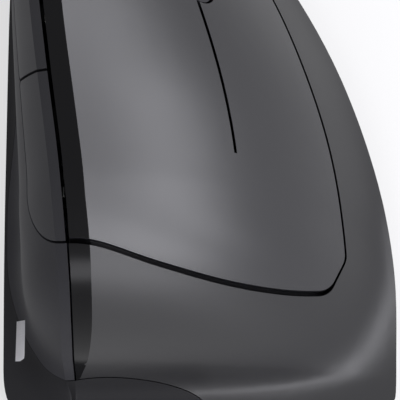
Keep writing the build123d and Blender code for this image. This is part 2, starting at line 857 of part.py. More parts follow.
with BuildPart() as base_shell:
    add(shell.part)
    add(base_space(0), mode=Mode.INTERSECT)
    # walls round the cells and the receiver
    with BuildSketch(Plane.XY.offset(floor_z)):
        with Locations((bay_centre_x, bay_centre_y)):
            Rectangle(bay_length + 2 * bay_wall, bay_width + 2 * bay_wall)
        with Locations((receiver_x, receiver_y)):
            Rectangle(receiver_bay_length + 2 * bay_wall, receiver_bay_width + 2 * bay_wall)
    extrude(amount=bay_wall_height)
    with BuildSketch(Plane.XY):
        with Locations((bay_centre_x, bay_centre_y)):
            Rectangle(bay_length, bay_width)
        with Locations((receiver_x, receiver_y)):
            Rectangle(receiver_bay_length, receiver_bay_width)
    extrude(amount=floor_z + bay_wall_height, mode=Mode.SUBTRACT)
    # standoffs of the main board
    with BuildSketch(Plane.XY.offset(floor_z)):
        with Locations(leg_places):
            Circle(standoff_radius)
    extrude(amount=board_z - floor_z)
    # screw holes with their recesses, window of the sensor, slot of the switch, pockets of the feet
    with BuildSketch(Plane.XY):
        with Locations(leg_places + case_screw_places):
            Circle(screw_hole_radius)
        with Locations((sensor_x, sensor_y)):
            Rectangle(lens_window_width, lens_window_length)
        with Locations((power_x, power_y + power_travel / 2)):
            Rectangle(power_knob_width + 2 * power_slot_gap,
                      power_knob_length + power_travel + 2 * power_slot_gap)
    extrude(amount=board_z, mode=Mode.SUBTRACT)
    with BuildSketch(Plane.XY.offset(bottom_z)):
        with Locations(leg_places + case_screw_places):
            Circle(screw_head_radius + screw_head_gap)
    extrude(amount=screw_recess + screw_head_height, mode=Mode.SUBTRACT)
    with BuildSketch(Plane.XY.offset(bottom_z)):
        with Locations(feet_places):
            SlotOverall(foot_length, foot_width)
    extrude(amount=foot_pocket, mode=Mode.SUBTRACT)
    # bearings of the battery door
    with BuildSketch(Plane.YZ.offset(bay_centre_x)):
        with Locations((door_front_y - door_thickness / 2 - door_gap, door_pin_z)):
            Circle(door_pin_radius + running_gap)
    extrude(amount=bay_length / 2 + door_pin_length, both=True, mode=Mode.SUBTRACT)
keep(base_shell.part, "base_shell")

with BuildPart() as glide_feet:
    with BuildSketch(Plane.XY):
        with Locations(feet_places):
            SlotOverall(foot_length - 2 * foot_gap, foot_width - 2 * foot_gap)
    extrude(amount=foot_height + foot_pocket)
keep(glide_feet.part, "glide_feet")


def screws(places, length):
    """Pan-head screws driven up from below the base."""
    head_z = bottom_z + screw_recess
    with BuildPart() as group:
        with BuildSketch(Plane.XY.offset(head_z)):
            with Locations(places):
                Circle(screw_head_radius)
        extrude(amount=screw_head_height)
        with BuildSketch(Plane.XY.offset(head_z)):
            with Locations(places):
                Circle(screw_radius)
        extrude(amount=screw_head_height + length)
        with BuildSketch(Plane.XY.offset(head_z)):
            with Locations(places):
                Rectangle(screw_head_radius, screw_head_height / 3)
                Rectangle(screw_head_height / 3, screw_head_radius)
        extrude(amount=screw_head_height / 2, mode=Mode.SUBTRACT)
    return group.part


case_screws = screws(case_screw_places, case_screw_length - floor)
keep(case_screws, "case_screws")
frame_screws = screws(leg_places, frame_screw_length)
keep(frame_screws, "frame_screws")

with BuildPart() as battery_door:
    door_rear_y = bay_centre_y - bay_width / 2 + door_gap
    pin_y = door_front_y - door_thickness / 2 - door_gap
    with BuildSketch(Plane.XY.offset(bottom_z + door_recess)):
        with Locations((bay_centre_x, (door_rear_y + pin_y) / 2)):
            Rectangle(bay_length - 2 * door_gap, pin_y - door_rear_y)
    extrude(amount=door_thickness)
    with BuildSketch(Plane.YZ.offset(bay_centre_x)):
        with Locations((pin_y, door_pin_z)):
            Circle(door_thickness / 2)
    extrude(amount=bay_length / 2 - door_gap, both=True)
    with BuildSketch(Plane.YZ.offset(bay_centre_x)):
        with Locations((pin_y, door_pin_z)):
            Circle(door_pin_radius)
    extrude(amount=bay_length / 2 + door_pin_length - door_gap, both=True)
    # finger notch at the rear edge
    with BuildSketch(Plane.XY.offset(bottom_z + door_recess)):
        with Locations((bay_centre_x, door_rear_y + door_thickness)):
            SlotOverall(cell_pitch, 2 * door_thickness)
    extrude(amount=door_thickness / 2, mode=Mode.SUBTRACT)
keep(battery_door.part, "battery_door")

# Cells, contacts and springs; the second cell lies the other way round
cell_z = bottom_z + door_recess + door_thickness + cell_gap + cell_radius


def cell(side, y):
    """One cell with its nub towards the side."""
    start = bay_centre_x - side * (bay_length / 2 - contact_thickness - spring_length)
    along = Plane(origin=(start, y, cell_z), z_dir=(side, 0, 0))
    body_length_here = cell_length - cell_nub_length
    with BuildPart() as body:
        with BuildSketch(along):
            Circle(cell_radius)
        extrude(amount=body_length_here)
        fillet(body.edges().filter_by(GeomType.CIRCLE), cell_nub_length / 2)
        with BuildSketch(along.offset(body_length_here)):
            Circle(cell_nub_radius)
        extrude(amount=cell_nub_length)
    return body.part


def cell_spring(side, y):
    """Coil between a contact plate and the cell's flat end."""
    start = bay_centre_x - side * (bay_length / 2 - contact_thickness - spring_wire_radius)
    height = spring_length - 2 * spring_wire_radius
    with BuildPart() as coil:
        with BuildLine() as path:
            Helix(height / spring_turns, height, spring_radius, center=(start, y, cell_z), direction=(side, 0, 0))
        with BuildSketch(Plane(origin=path.line @ 0, z_dir=path.line % 0)):
            Circle(spring_wire_radius)
        sweep(path=path.line)
    return coil.part


cell_rows = [(1, bay_centre_y - cell_pitch / 2), (-1, bay_centre_y + cell_pitch / 2)]
cell_1 = cell(*cell_rows[0])
keep(cell_1, "cell_1")
cell_2 = cell(*cell_rows[1])
keep(cell_2, "cell_2")
with BuildPart() as cell_springs:
    for side, y in cell_rows:
        add(cell_spring(side, y))
keep(cell_springs.part, "cell_springs")
with BuildPart() as cell_contacts:
    for side in (-1, 1):
        with BuildSketch(Plane.YZ.offset(bay_centre_x + side * (bay_length - contact_thickness) / 2)):
            with Locations(*[(y, cell_z) for _, y in cell_rows]):
                Rectangle(contact_size, contact_size)
        extrude(amount=contact_thickness / 2, both=True)
keep(cell_contacts.part, "cell_contacts")

# Receiver
receiver_z = bottom_z + receiver_lift + receiver_cap_height / 2
receiver_cap_x = receiver_x - receiver_length / 2 + receiver_cap_length / 2
receiver_plug_x = receiver_x + receiver_length / 2 - receiver_plug_length / 2
with BuildPart() as receiver_cap:
    with BuildSketch(Plane.YZ.offset(receiver_cap_x)):
        with Locations((receiver_y, receiver_z)):
            RectangleRounded(receiver_cap_width, receiver_cap_height, receiver_gap * 4)
    extrude(amount=receiver_cap_length / 2, both=True)
keep(receiver_cap.part, "receiver_cap")
with BuildPart() as receiver_plug:
    with BuildSketch(Plane.YZ.offset(receiver_plug_x)):
        with Locations((receiver_y, receiver_z)):
            Rectangle(receiver_plug_width, receiver_plug_height)
            Rectangle(receiver_plug_width - 2 * receiver_gap, receiver_plug_height - 2 * receiver_gap,
                      mode=Mode.SUBTRACT)
            with Locations((0, -receiver_plug_height / 5)):
                Rectangle(receiver_plug_width - 2 * receiver_gap, receiver_plug_height / 3)
    extrude(amount=receiver_plug_length / 2, both=True)
keep(receiver_plug.part, "receiver_plug")


# Key frame: the tilted bracket that carries the key board and the wheel's yoke
wheel_window_width = 8.0
wheel_window_gap = 0.9
frame_corner = 2.0
ear_along = pivot_back
arm_inner = wheel_width / 2 + arm_gap
arm_outer = arm_inner + arm_thickness
ear_inner = arm_outer + ear_gap
ear_outer = ear_inner + ear_thickness
ear_middle = (ear_inner + ear_outer) / 2
ear_top_depth = wheel_depth - ear_rise
post_right = 16.5
post_left = -10.5
post_front = 9.5
post_rear = -15.5
post_places = [(x, y) for x in (post_left, post_right) for y in (post_rear, post_front)]
pivot_centre = key_plane.from_local_coords((0, -pivot_back, -wheel_depth))
axle_centre = key_plane.from_local_coords((0, 0, -wheel_depth))
pivot_plane = Plane(origin=pivot_centre, x_dir=key_plane.y_dir, z_dir=key_plane.x_dir)
axle_plane = Plane(origin=axle_centre, x_dir=key_plane.y_dir, z_dir=key_plane.x_dir)


def wheel_chord(depth):
    """Half the wheel's length along the slot at a depth, with its clearance."""
    return (wheel_radius**2 - (depth - wheel_depth) ** 2) ** 0.5 + wheel_window_gap


with BuildPart() as frame_legs:
    with BuildSketch(Plane.XY.offset(board_top_z)):
        with Locations(leg_places):
            Rectangle(frame_leg_size, frame_leg_size)
    extrude(amount=top_z)
    split(bisect_by=key_plane.offset(-(frame_depth + frame_thickness / 2)), keep=Keep.BOTTOM)
    with BuildSketch(Plane.XY.offset(board_top_z)):
        with Locations(leg_places):
            Circle(screw_radius)
    extrude(amount=frame_screw_length, mode=Mode.SUBTRACT)

with BuildPart() as key_frame:
    with BuildSketch(key_plane.offset(-frame_depth)):
        with Locations(((frame_right - frame_left) / 2, (frame_front - frame_rear) / 2)):
            RectangleRounded(frame_left + frame_right, frame_front + frame_rear, frame_corner)
        Rectangle(wheel_window_width, 2 * wheel_chord(frame_depth), mode=Mode.SUBTRACT)
    extrude(amount=-frame_thickness)
    with BuildSketch(key_plane.offset(-frame_depth)):
        with Locations(post_places):
            Circle(post_radius)
    extrude(amount=frame_depth - key_board_depth - board_thickness)
    with BuildSketch(key_plane.offset(-frame_depth)):
        with Locations((-ear_middle, -ear_along), (ear_middle, -ear_along)):
            Rectangle(ear_thickness, 2 * ear_half_length)
    extrude(amount=frame_depth - ear_top_depth)
    with BuildSketch(pivot_plane):
        Circle(pivot_radius + running_gap)
    extrude(amount=far_x, both=True, mode=Mode.SUBTRACT)
    add(frame_legs.part)
keep(key_frame.part, "key_frame")

with BuildPart() as key_board:
    with BuildSketch(key_plane.offset(-key_board_depth)) as key_board_outline:
        with Locations(((key_board_right - key_board_left) / 2, (key_board_front - key_board_rear) / 2)):
            RectangleRounded(key_board_left + key_board_right, key_board_front + key_board_rear, key_board_corner)
        Rectangle(wheel_window_width, 2 * wheel_chord(key_board_depth), mode=Mode.SUBTRACT)
        with Locations((-ear_middle, -ear_along), (ear_middle, -ear_along)):
            Rectangle(ear_thickness + 2 * ear_gap, 2 * ear_half_length + 2 * ear_gap, mode=Mode.SUBTRACT)
    extrude(amount=-board_thickness)
keep(key_board.part, "key_board")

# Switches of the keys, and small round switches for the wheel's click and the resolution button
plunger_sunk = 0.9
plunger_pocket = 1.6
tact_sunk = 0.6
tact_pocket = 1.2


def box_switch(plane, place, size, spot, pin, rise):
    """Body and plunger of a box-shaped switch that stands on a plane; the plunger is at the spot."""
    width, length, height = size
    pin_width, pin_length = pin
    with BuildPart() as body:
        with BuildSketch(plane):
            with Locations(place):
                Rectangle(width, length)
        extrude(amount=height)
        with BuildSketch(plane.offset(height)):
            with Locations(spot):
                Rectangle(pin_width + 2 * running_gap, pin_length + 2 * running_gap)
        extrude(amount=-plunger_pocket, mode=Mode.SUBTRACT)
    with BuildPart() as plunger:
        with BuildSketch(plane.offset(height - plunger_sunk)):
            with Locations(spot):
                Rectangle(pin_width, pin_length)
        extrude(amount=plunger_sunk + rise)
    return body.part, plunger.part


def key_switch(place):
    """Switch of a key and its plunger, on the key board."""
    size = (switch_width, switch_length, switch_height)
    return box_switch(key_board_plane, place, size, switch_plunger_place(place), (plunger_width, plunger_length),
                      plunger_rise)


def round_switch(plane, place):
    """Body and round plunger of a small square switch that stands on a plane."""
    with BuildPart() as body:
        with BuildSketch(plane):
            with Locations(place):
                Rectangle(tact_size, tact_size)
        extrude(amount=tact_height)
        with BuildSketch(plane.offset(tact_height)):
            with Locations(place):
                Circle(tact_plunger_radius + running_gap)
        extrude(amount=-tact_pocket, mode=Mode.SUBTRACT)
    with BuildPart() as plunger:
        with BuildSketch(plane.offset(tact_height - tact_sunk)):
            with Locations(place):
                Circle(tact_plunger_radius)
        extrude(amount=tact_sunk + tact_plunger_rise)
    return body.part, plunger.part


key_board_plane = key_plane.offset(-key_board_depth)
left_switch, left_plunger = key_switch(left_switch_place)
keep(left_switch, "left_switch")
keep(left_plunger, "left_plunger")
right_switch, right_plunger = key_switch(right_switch_place)
keep(right_switch, "right_switch")
keep(right_plunger, "right_plunger")
click_switch, click_plunger = round_switch(key_board_plane, (0, click_switch_along))
keep(click_switch, "click_switch")
keep(click_plunger, "click_plunger")
resolution_switch, resolution_plunger = round_switch(key_board_plane, (0, resolution_along))
keep(resolution_switch, "resolution_switch")
keep(resolution_plunger, "resolution_plunger")

# Wheel and yoke
arm_middle = (arm_inner + arm_outer) / 2
nose_depth = key_board_depth - tact_height - tact_plunger_rise - press_gap
with BuildPart() as wheel_yoke:
    with BuildSketch(key_plane.offset(-wheel_depth)):
        with Locations((0, (yoke_front - yoke_rear) / 2)):
            Rectangle(2 * arm_outer, yoke_front + yoke_rear)
            Rectangle(2 * arm_inner, yoke_front + yoke_rear - 2 * yoke_bar, mode=Mode.SUBTRACT)
    extrude(amount=arm_half_height, both=True)
    with BuildSketch(key_plane.offset(-nose_depth)):
        with Locations((0, (yoke_front + nose_reach) / 2)):
            Rectangle(nose_width, nose_reach - yoke_front)
    extrude(amount=nose_thickness)
    with BuildSketch(pivot_plane):
        Circle(pivot_radius)
    extrude(amount=ear_outer, both=True)
    with BuildSketch(key_plane.offset(-wheel_depth)):
        with Locations((0, (yoke_front - yoke_rear) / 2)):
            Rectangle(2 * arm_inner, yoke_front + yoke_rear - 2 * yoke_bar)
    extrude(amount=arm_half_height, both=True, mode=Mode.SUBTRACT)
    with BuildSketch(axle_plane):
        Circle(axle_radius + running_gap)
    extrude(amount=far_x, both=True, mode=Mode.SUBTRACT)
keep(wheel_yoke.part, "wheel_yoke")

with BuildPart() as wheel_encoder:
    with BuildSketch(axle_plane.offset(arm_outer)):
        with Locations((0, -encoder_drop)):
            Rectangle(encoder_size, encoder_size)
    extrude(amount=encoder_thickness)
keep(wheel_encoder.part, "wheel_encoder")

hub_radius = wheel_radius - tyre_thickness
hub_recess = 1.6
hub_rim = 1.4
hub_boss_radius = 2.4
with BuildPart() as wheel_hub:
    with BuildSketch(axle_plane):
        Circle(hub_radius)
    extrude(amount=wheel_width / 2, both=True)
    for side in (-1, 1):
        with BuildSketch(axle_plane.offset(side * wheel_width / 2)):
            Circle(hub_radius - hub_rim)
            Circle(hub_boss_radius, mode=Mode.SUBTRACT)
        extrude(amount=-side * hub_recess, mode=Mode.SUBTRACT)
    with BuildSketch(axle_plane):
        Circle(axle_radius)
    extrude(amount=arm_outer, both=True)
keep(wheel_hub.part, "wheel_hub")

rib_gap_share = 0.4
with BuildPart() as wheel_tyre:
    with BuildSketch(axle_plane) as tyre_face:
        Circle(wheel_radius)
        Circle(hub_radius, mode=Mode.SUBTRACT)
    extrude(amount=wheel_width / 2, both=True)
    fillet(wheel_tyre.edges().filter_by(GeomType.CIRCLE).group_by(SortBy.RADIUS)[-1], tyre_groove)
    with BuildSketch(axle_plane):
        with PolarLocations(wheel_radius, tyre_ribs):
            Rectangle(2 * tyre_groove, rib_gap_share * 2 * pi * wheel_radius / tyre_ribs)
    extrude(amount=wheel_width / 2 - tyre_thickness / 2, both=True, mode=Mode.SUBTRACT)
keep(wheel_tyre.part, "wheel_tyre")


def panel_depth(across, along):
    """Depth of the outer skin under the key plane at a place on that plane."""
    low, high = -slot_width, 2 * key_depth
    for _ in range(40):
        middle = (low + high) / 2
        point = key_plane.from_local_coords((across, along, -middle))
        if point.Z > skin_z(point.X, point.Y):
            low = middle
        else:
            high = middle
    return low


# Resolution button: its top follows the panel in the slot's rear end
resolution_centre = key_plane.from_local_coords((0, resolution_along, -panel_depth(0, resolution_along)))
resolution_ahead = key_plane.from_local_coords(
    (0, resolution_along + probe, -panel_depth(0, resolution_along + probe)))
resolution_aside = key_plane.from_local_coords((probe, resolution_along, -panel_depth(probe, resolution_along)))
resolution_normal = (resolution_aside - resolution_centre).cross(resolution_ahead - resolution_centre)
resolution_top = Plane(origin=resolution_centre, z_dir=resolution_normal).offset(-resolution_recess)
resolution_low = key_board_depth - tact_height - tact_plunger_rise - press_gap
resolution_depth = panel_depth(0, resolution_along) + resolution_recess
with BuildPart() as resolution_button:
    with BuildSketch(key_plane.offset(-(resolution_depth + resolution_cap))):
        with Locations((0, resolution_along)):
            SlotOverall(resolution_length, resolution_width, rotation=90)
    extrude(amount=2 * resolution_cap)
    split(bisect_by=resolution_top, keep=Keep.BOTTOM)
    with BuildSketch(key_plane.offset(-resolution_low)):
        with Locations((0, resolution_along)):
            Circle(resolution_stem_radius)
    extrude(amount=resolution_low - resolution_depth - resolution_cap / 2)
keep(resolution_button.part, "resolution_button")

# Side board with the thumb buttons' switches
with BuildPart() as side_board:
    with BuildSketch(side_plane):
        with BuildLine():
            Polyline(
                side_place((side_board_rear_y, side_board_low_z)),
                side_place((side_board_step_y, side_board_low_z)),
                side_place((side_board_step_y, side_board_step_z)),
                side_place((side_board_front_y, side_board_step_z)),
                side_place((side_board_front_y, side_board_high_z)),
                side_place((side_board_rear_y, side_board_high_z)),
                close=True,
            )
        make_face()
    extrude(amount=-board_thickness)
keep(side_board.part, "side_board")

side_switch_plane = Plane(origin=side_plane.origin, x_dir=(0, 0, 1), z_dir=(-1, 0, 0))


def side_switch(place):
    """Switch of a thumb button and its plunger, at a place along the body and a height."""
    spot = (place[1], place[0])
    size = (side_switch_width, side_switch_length, side_switch_height)
    return box_switch(side_switch_plane, spot, size, spot, (side_plunger_width, side_plunger_length),
                      side_plunger_rise)


back_switch, back_plunger = side_switch(back_switch_place)
keep(back_switch, "back_switch")
keep(back_plunger, "back_plunger")
forward_switch, forward_plunger = side_switch(forward_switch_place)
keep(forward_switch, "forward_switch")
keep(forward_plunger, "forward_plunger")

# Main board and what it carries; the outline is in shares of the width and the length
main_board_shares = [
    (-0.32, 0.0375), (0.2, 0.0375), (0.2, 0.15), (0.027, 0.25), (-0.133, 0.3625), (-0.333, 0.3625),
    (-0.39, 0.308), (-0.39, 0.233), (-0.32, 0.1667),
]
lens_hole_gap = 0.2
with BuildPart() as main_board:
    with BuildSketch(Plane.XY.offset(board_z)):
        with BuildLine():
            Polyline(*in_plan(main_board_shares), close=True)
        make_face()
        with Locations(leg_places):
            Circle(screw_hole_radius, mode=Mode.SUBTRACT)
        with Locations((sensor_x, sensor_y)):
            Circle(lens_radius + lens_hole_gap, mode=Mode.SUBTRACT)
    extrude(amount=board_thickness)
keep(main_board.part, "main_board")

sensor_width = 10.0
sensor_length = 12.0
sensor_height = 2.4
with BuildPart() as sensor_chip:
    with BuildSketch(Plane.XY.offset(board_top_z)):
        with Locations((sensor_x, sensor_y)):
            Rectangle(sensor_width, sensor_length)
    extrude(amount=sensor_height)
keep(sensor_chip.part, "sensor_chip")

lens_low_z = bottom_z + lens_recess
with BuildPart() as sensor_lens:
    with BuildSketch(Plane.XY.offset(lens_low_z)):
        with Locations((sensor_x, sensor_y)):
            Rectangle(lens_window_width - 2 * lens_gap, lens_window_length - 2 * lens_gap)
    extrude(amount=floor_z - lens_low_z)
    with BuildSketch(Plane.XY.offset(floor_z)):
        with Locations((sensor_x, sensor_y)):
            Rectangle(lens_plate_width, lens_plate_length)
    extrude(amount=lens_plate_thickness)
    with BuildSketch(Plane.XY.offset(floor_z)):
        with Locations((sensor_x, sensor_y)):
            Circle(lens_radius)
    extrude(amount=board_top_z - floor_z)
keep(sensor_lens.part, "sensor_lens")

lamp_radius = 1.5
lamp_length = 3.2
lamp_gap = 0.3
with BuildPart() as sensor_lamp:
    with BuildSketch(Plane.XZ.offset(-(sensor_y + sensor_length / 2 + lamp_gap))):
        with Locations((sensor_x, board_top_z + lamp_radius)):
            Circle(lamp_radius)
    extrude(amount=-lamp_length)
keep(sensor_lamp.part, "sensor_lamp")

chip_size = 7.0
chip_height = 1.0
chip_x = 3.5
chip_y = 12.0
with BuildPart() as controller_chip:
    with BuildSketch(Plane.XY.offset(board_top_z)):
        with Locations((chip_x, chip_y)):
            Rectangle(chip_size, chip_size)
    extrude(amount=chip_height)
keep(controller_chip.part, "controller_chip")

# Power switch under the board, with its knob in the floor's slot
with BuildPart() as power_switch:
    with BuildSketch(Plane.XY.offset(board_z)):
        with Locations((power_x, power_y + power_travel / 2)):
            Rectangle(power_body_width, power_body_length)
    extrude(amount=-power_body_height)
keep(power_switch.part, "power_switch")

power_flange = 0.7
power_flange_z = floor_z + running_gap
knob_low_z = bottom_z + power_knob_recess
with BuildPart() as power_knob:
    with BuildSketch(Plane.XY.offset(knob_low_z)):
        with Locations((power_x, power_y)):
            Rectangle(power_knob_width, power_knob_length)
    extrude(amount=power_flange_z - knob_low_z)
    with BuildSketch(Plane.XY.offset(power_flange_z)):
        with Locations((power_x, power_y)):
            Rectangle(power_knob_width + 2 * power_flange, power_knob_length + 2 * power_flange)
    extrude(amount=board_z - power_body_height - running_gap - power_flange_z)
keep(power_knob.part, "power_knob")

# Ribbon cables with their connectors
ribbon_width = 5.0
ribbon_thickness = 0.4
ribbon_radius = 8.0
ribbon_drop = 9.0
connector_width = 3.0
connector_length = 7.0
connector_height = 2.0
key_connector_x = 8.0
key_connector_y = -21.5
side_ribbon_y = 8.5
side_connector_z = 45.0

key_ribbon_plane = key_plane.offset(-(key_board_depth + board_thickness + connector_height))
ribbon_start = key_ribbon_plane.from_local_coords((key_connector_x, key_connector_y, 0))
ribbon_turn = key_ribbon_plane.from_local_coords((key_connector_x, key_connector_y, -ribbon_drop))
ribbon_side = Vector(0, 0, 1).cross(out_of_panel).normalized()
ribbon_plane = Plane(origin=(ribbon_turn.X, ribbon_turn.Y, 0), x_dir=Vector(0, 0, 1).cross(ribbon_side),
                     z_dir=ribbon_side)
ribbon_end_z = board_top_z + connector_height
start_local = ribbon_plane.to_local_coords(ribbon_start)
turn_local = ribbon_plane.to_local_coords(ribbon_turn)
with BuildPart() as key_ribbon:
    with BuildSketch(ribbon_plane):
        with BuildLine():
            FilletPolyline(
                (start_local.X, start_local.Y), (turn_local.X, turn_local.Y),
                (turn_local.X, ribbon_end_z),
                radius=ribbon_radius,
            )
        trace(line_width=ribbon_thickness)
    extrude(amount=ribbon_width / 2, both=True)
keep(key_ribbon.part, "key_ribbon")

side_ribbon_x = side_board_x + board_thickness + connector_height / 2
with BuildPart() as side_ribbon:
    with BuildSketch(Plane.XY.offset(ribbon_end_z)):
        with Locations((side_ribbon_x, side_ribbon_y)):
            Rectangle(ribbon_thickness, ribbon_width)
    extrude(amount=side_connector_z - connector_width / 2 - ribbon_end_z)
keep(side_ribbon.part, "side_ribbon")

with BuildPart() as connectors:
    with BuildSketch(key_plane.offset(-(key_board_depth + board_thickness))):
        with Locations((key_connector_x, key_connector_y)):
            Rectangle(connector_width, connector_length)
    extrude(amount=-connector_height)
    with BuildSketch(Plane(origin=(ribbon_turn.X, ribbon_turn.Y, board_top_z), x_dir=ribbon_side)):
        Rectangle(connector_length, connector_width)
    extrude(amount=connector_height)
    with BuildSketch(Plane.XY.offset(board_top_z)):
        with Locations((side_ribbon_x, side_ribbon_y)):
            Rectangle(connector_width, connector_length)
    extrude(amount=connector_height)
    with BuildSketch(side_switch_plane.offset(-board_thickness)):
        with Locations((side_connector_z, side_ribbon_y)):
            Rectangle(connector_width, connector_length)
    extrude(amount=-connector_height)
keep(connectors.part, "connectors")
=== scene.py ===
"""Looks of the vertical mouse: finishes, printed bar, grip ridges, cells and studio."""

import json
import logging
import math
from dataclasses import dataclass
from enum import Enum

import bmesh
import bpy
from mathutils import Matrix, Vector
from mathutils.bvhtree import BVHTree


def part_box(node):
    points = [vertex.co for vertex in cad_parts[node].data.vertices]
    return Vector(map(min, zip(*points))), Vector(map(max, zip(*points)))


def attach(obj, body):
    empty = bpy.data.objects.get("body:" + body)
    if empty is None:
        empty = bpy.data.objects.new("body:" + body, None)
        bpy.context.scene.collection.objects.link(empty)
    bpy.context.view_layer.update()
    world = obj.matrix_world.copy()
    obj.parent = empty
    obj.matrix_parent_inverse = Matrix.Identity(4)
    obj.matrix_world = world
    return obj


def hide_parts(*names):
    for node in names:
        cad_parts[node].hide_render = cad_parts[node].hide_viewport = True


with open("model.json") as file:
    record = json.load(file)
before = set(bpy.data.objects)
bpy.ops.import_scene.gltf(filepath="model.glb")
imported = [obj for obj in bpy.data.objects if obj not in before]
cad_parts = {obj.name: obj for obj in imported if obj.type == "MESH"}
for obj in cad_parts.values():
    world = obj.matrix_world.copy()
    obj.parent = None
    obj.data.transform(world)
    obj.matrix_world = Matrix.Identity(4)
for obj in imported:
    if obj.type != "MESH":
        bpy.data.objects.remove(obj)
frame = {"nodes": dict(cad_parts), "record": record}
log = logging.getLogger("mouse")

MM = 0.001
Colour = tuple[float, float, float, float]
Place = tuple[float, float, float]

# constants of the sRGB curve: its straight foot, then a power
SRGB_KNEE = 0.04045
SRGB_SLOPE = 12.92
SRGB_OFFSET = 0.055
SRGB_POWER = 2.4


def to_linear(code: str) -> Colour:
    """Turn an sRGB hex colour into linear values.

    Args:
        code: A colour such as "#38383c".

    Returns:
        Linear red, green, blue and an alpha of one.
    """
    values = []
    for start in (1, 3, 5):
        share = int(code[start:start + 2], 16) / 255
        if share <= SRGB_KNEE:
            values.append(share / SRGB_SLOPE)
        else:
            values.append(((share + SRGB_OFFSET) / (1 + SRGB_OFFSET)) ** SRGB_POWER)
    return (values[0], values[1], values[2], 1.0)


def add_node(tree: bpy.types.NodeTree, kind: str, settings: dict | None = None,
             values: dict | None = None) -> bpy.types.Node:
    """Add a node with its settings, values and links.

    Args:
        tree: The tree that gets the node.
        kind: The node's type.
        settings: Properties of the node.
        values: Input name or number to a plain value or to an output socket to link from.

    Returns:
        The new node.
    """
    node = tree.nodes.new(kind)
    for name, value in (settings or {}).items():
        setattr(node, name, value)
    for name, value in (values or {}).items():
        if isinstance(value, bpy.types.NodeSocket):
            tree.links.new(value, node.inputs[name])
        else:
            node.inputs[name].default_value = value
    return node


class Surface(Enum):
    """Kinds of micro relief that a finish can carry."""

    SMOOTH = "smooth"
    GRAIN = "grain"
    BRUSHED = "brushed"


# brushing draws the relief out along X
BRUSH_STRETCH = (0.05, 1.0, 1.0)
EVEN_STRETCH = (1.0, 1.0, 1.0)


@dataclass(frozen=True)
class Finish:
    """One material: its colour, gloss and micro relief.

    The pattern's scales are real sizes in millimetres. The grain of a spark texture is about
    0.05 mm and would not show, so it is drawn four to six times as coarse.

    Args:
        name: Name of the material.
        colour: Main colour as sRGB hex.
        shade: Second colour that mottles the first.
        roughness: Roughness of the base layer.
        relief: Kind of micro relief.
        grain_mm: Size of the relief's features in millimetres.
        bump: Strength of the relief.
        metallic: One for metal.
        coat: Weight of the clear coat.
        coat_roughness: Roughness of the clear coat.
        specular: Specular level of the base layer.
        transmission: Share of light that passes through.
        mottle_mm: Size of the colour's mottling in millimetres.
        roughness_play: How far the mottling moves the roughness either way.
        mottle_detail: Octaves of the mottling.
        grain_detail: Octaves of the relief.
    """

    name: str
    colour: str
    shade: str
    roughness: float
    relief: Surface = Surface.GRAIN
    grain_mm: float = 0.2
    bump: float = 0.04
    metallic: float = 0.0
    coat: float = 0.0
    coat_roughness: float = 0.2
    specular: float = 0.5
    transmission: float = 0.0
    mottle_mm: float = 16.0
    roughness_play: float = 0.03
    mottle_detail: float = 3.0
    grain_detail: float = 2.0

    def build(self) -> bpy.types.Material:
        """Make the Blender material.

        Returns:
            The new material.
        """
        material = bpy.data.materials.new(self.name)
        material.use_nodes = True
        tree = material.node_tree
        shader = tree.nodes["Principled BSDF"]
        for socket, value in (("Metallic", self.metallic), ("Coat Weight", self.coat),
                              ("Coat Roughness", self.coat_roughness),
                              ("Specular IOR Level", self.specular),
                              ("Transmission Weight", self.transmission)):
            shader.inputs[socket].default_value = value
        place = add_node(tree, "ShaderNodeTexCoord")
        stretch = BRUSH_STRETCH if self.relief is Surface.BRUSHED else EVEN_STRETCH
        scale = add_node(tree, "ShaderNodeMapping", values={
            "Vector": place.outputs["Object"], "Scale": stretch})
        mottle = add_node(tree, "ShaderNodeTexNoise", values={
            "Vector": scale.outputs["Vector"], "Scale": 1 / (self.mottle_mm * MM),
            "Detail": self.mottle_detail})
        mix = add_node(tree, "ShaderNodeMix", {"data_type": "RGBA"}, {
            "Factor": mottle.outputs["Fac"], "A": to_linear(self.colour),
            "B": to_linear(self.shade)})
        tree.links.new(mix.outputs["Result"], shader.inputs["Base Color"])
        spread = add_node(tree, "ShaderNodeMapRange", values={
            "Value": mottle.outputs["Fac"], "To Min": self.roughness - self.roughness_play,
            "To Max": self.roughness + self.roughness_play})
        tree.links.new(spread.outputs["Result"], shader.inputs["Roughness"])
        if self.relief is not Surface.SMOOTH:
            grain = add_node(tree, "ShaderNodeTexNoise", values={
                "Vector": scale.outputs["Vector"], "Scale": 1 / (self.grain_mm * MM),
                "Detail": self.grain_detail})
            bump = add_node(tree, "ShaderNodeBump", values={
                "Height": grain.outputs["Fac"], "Strength": self.bump,
                "Distance": self.grain_mm * MM})
            tree.links.new(bump.outputs["Normal"], shader.inputs["Normal"])
        return material


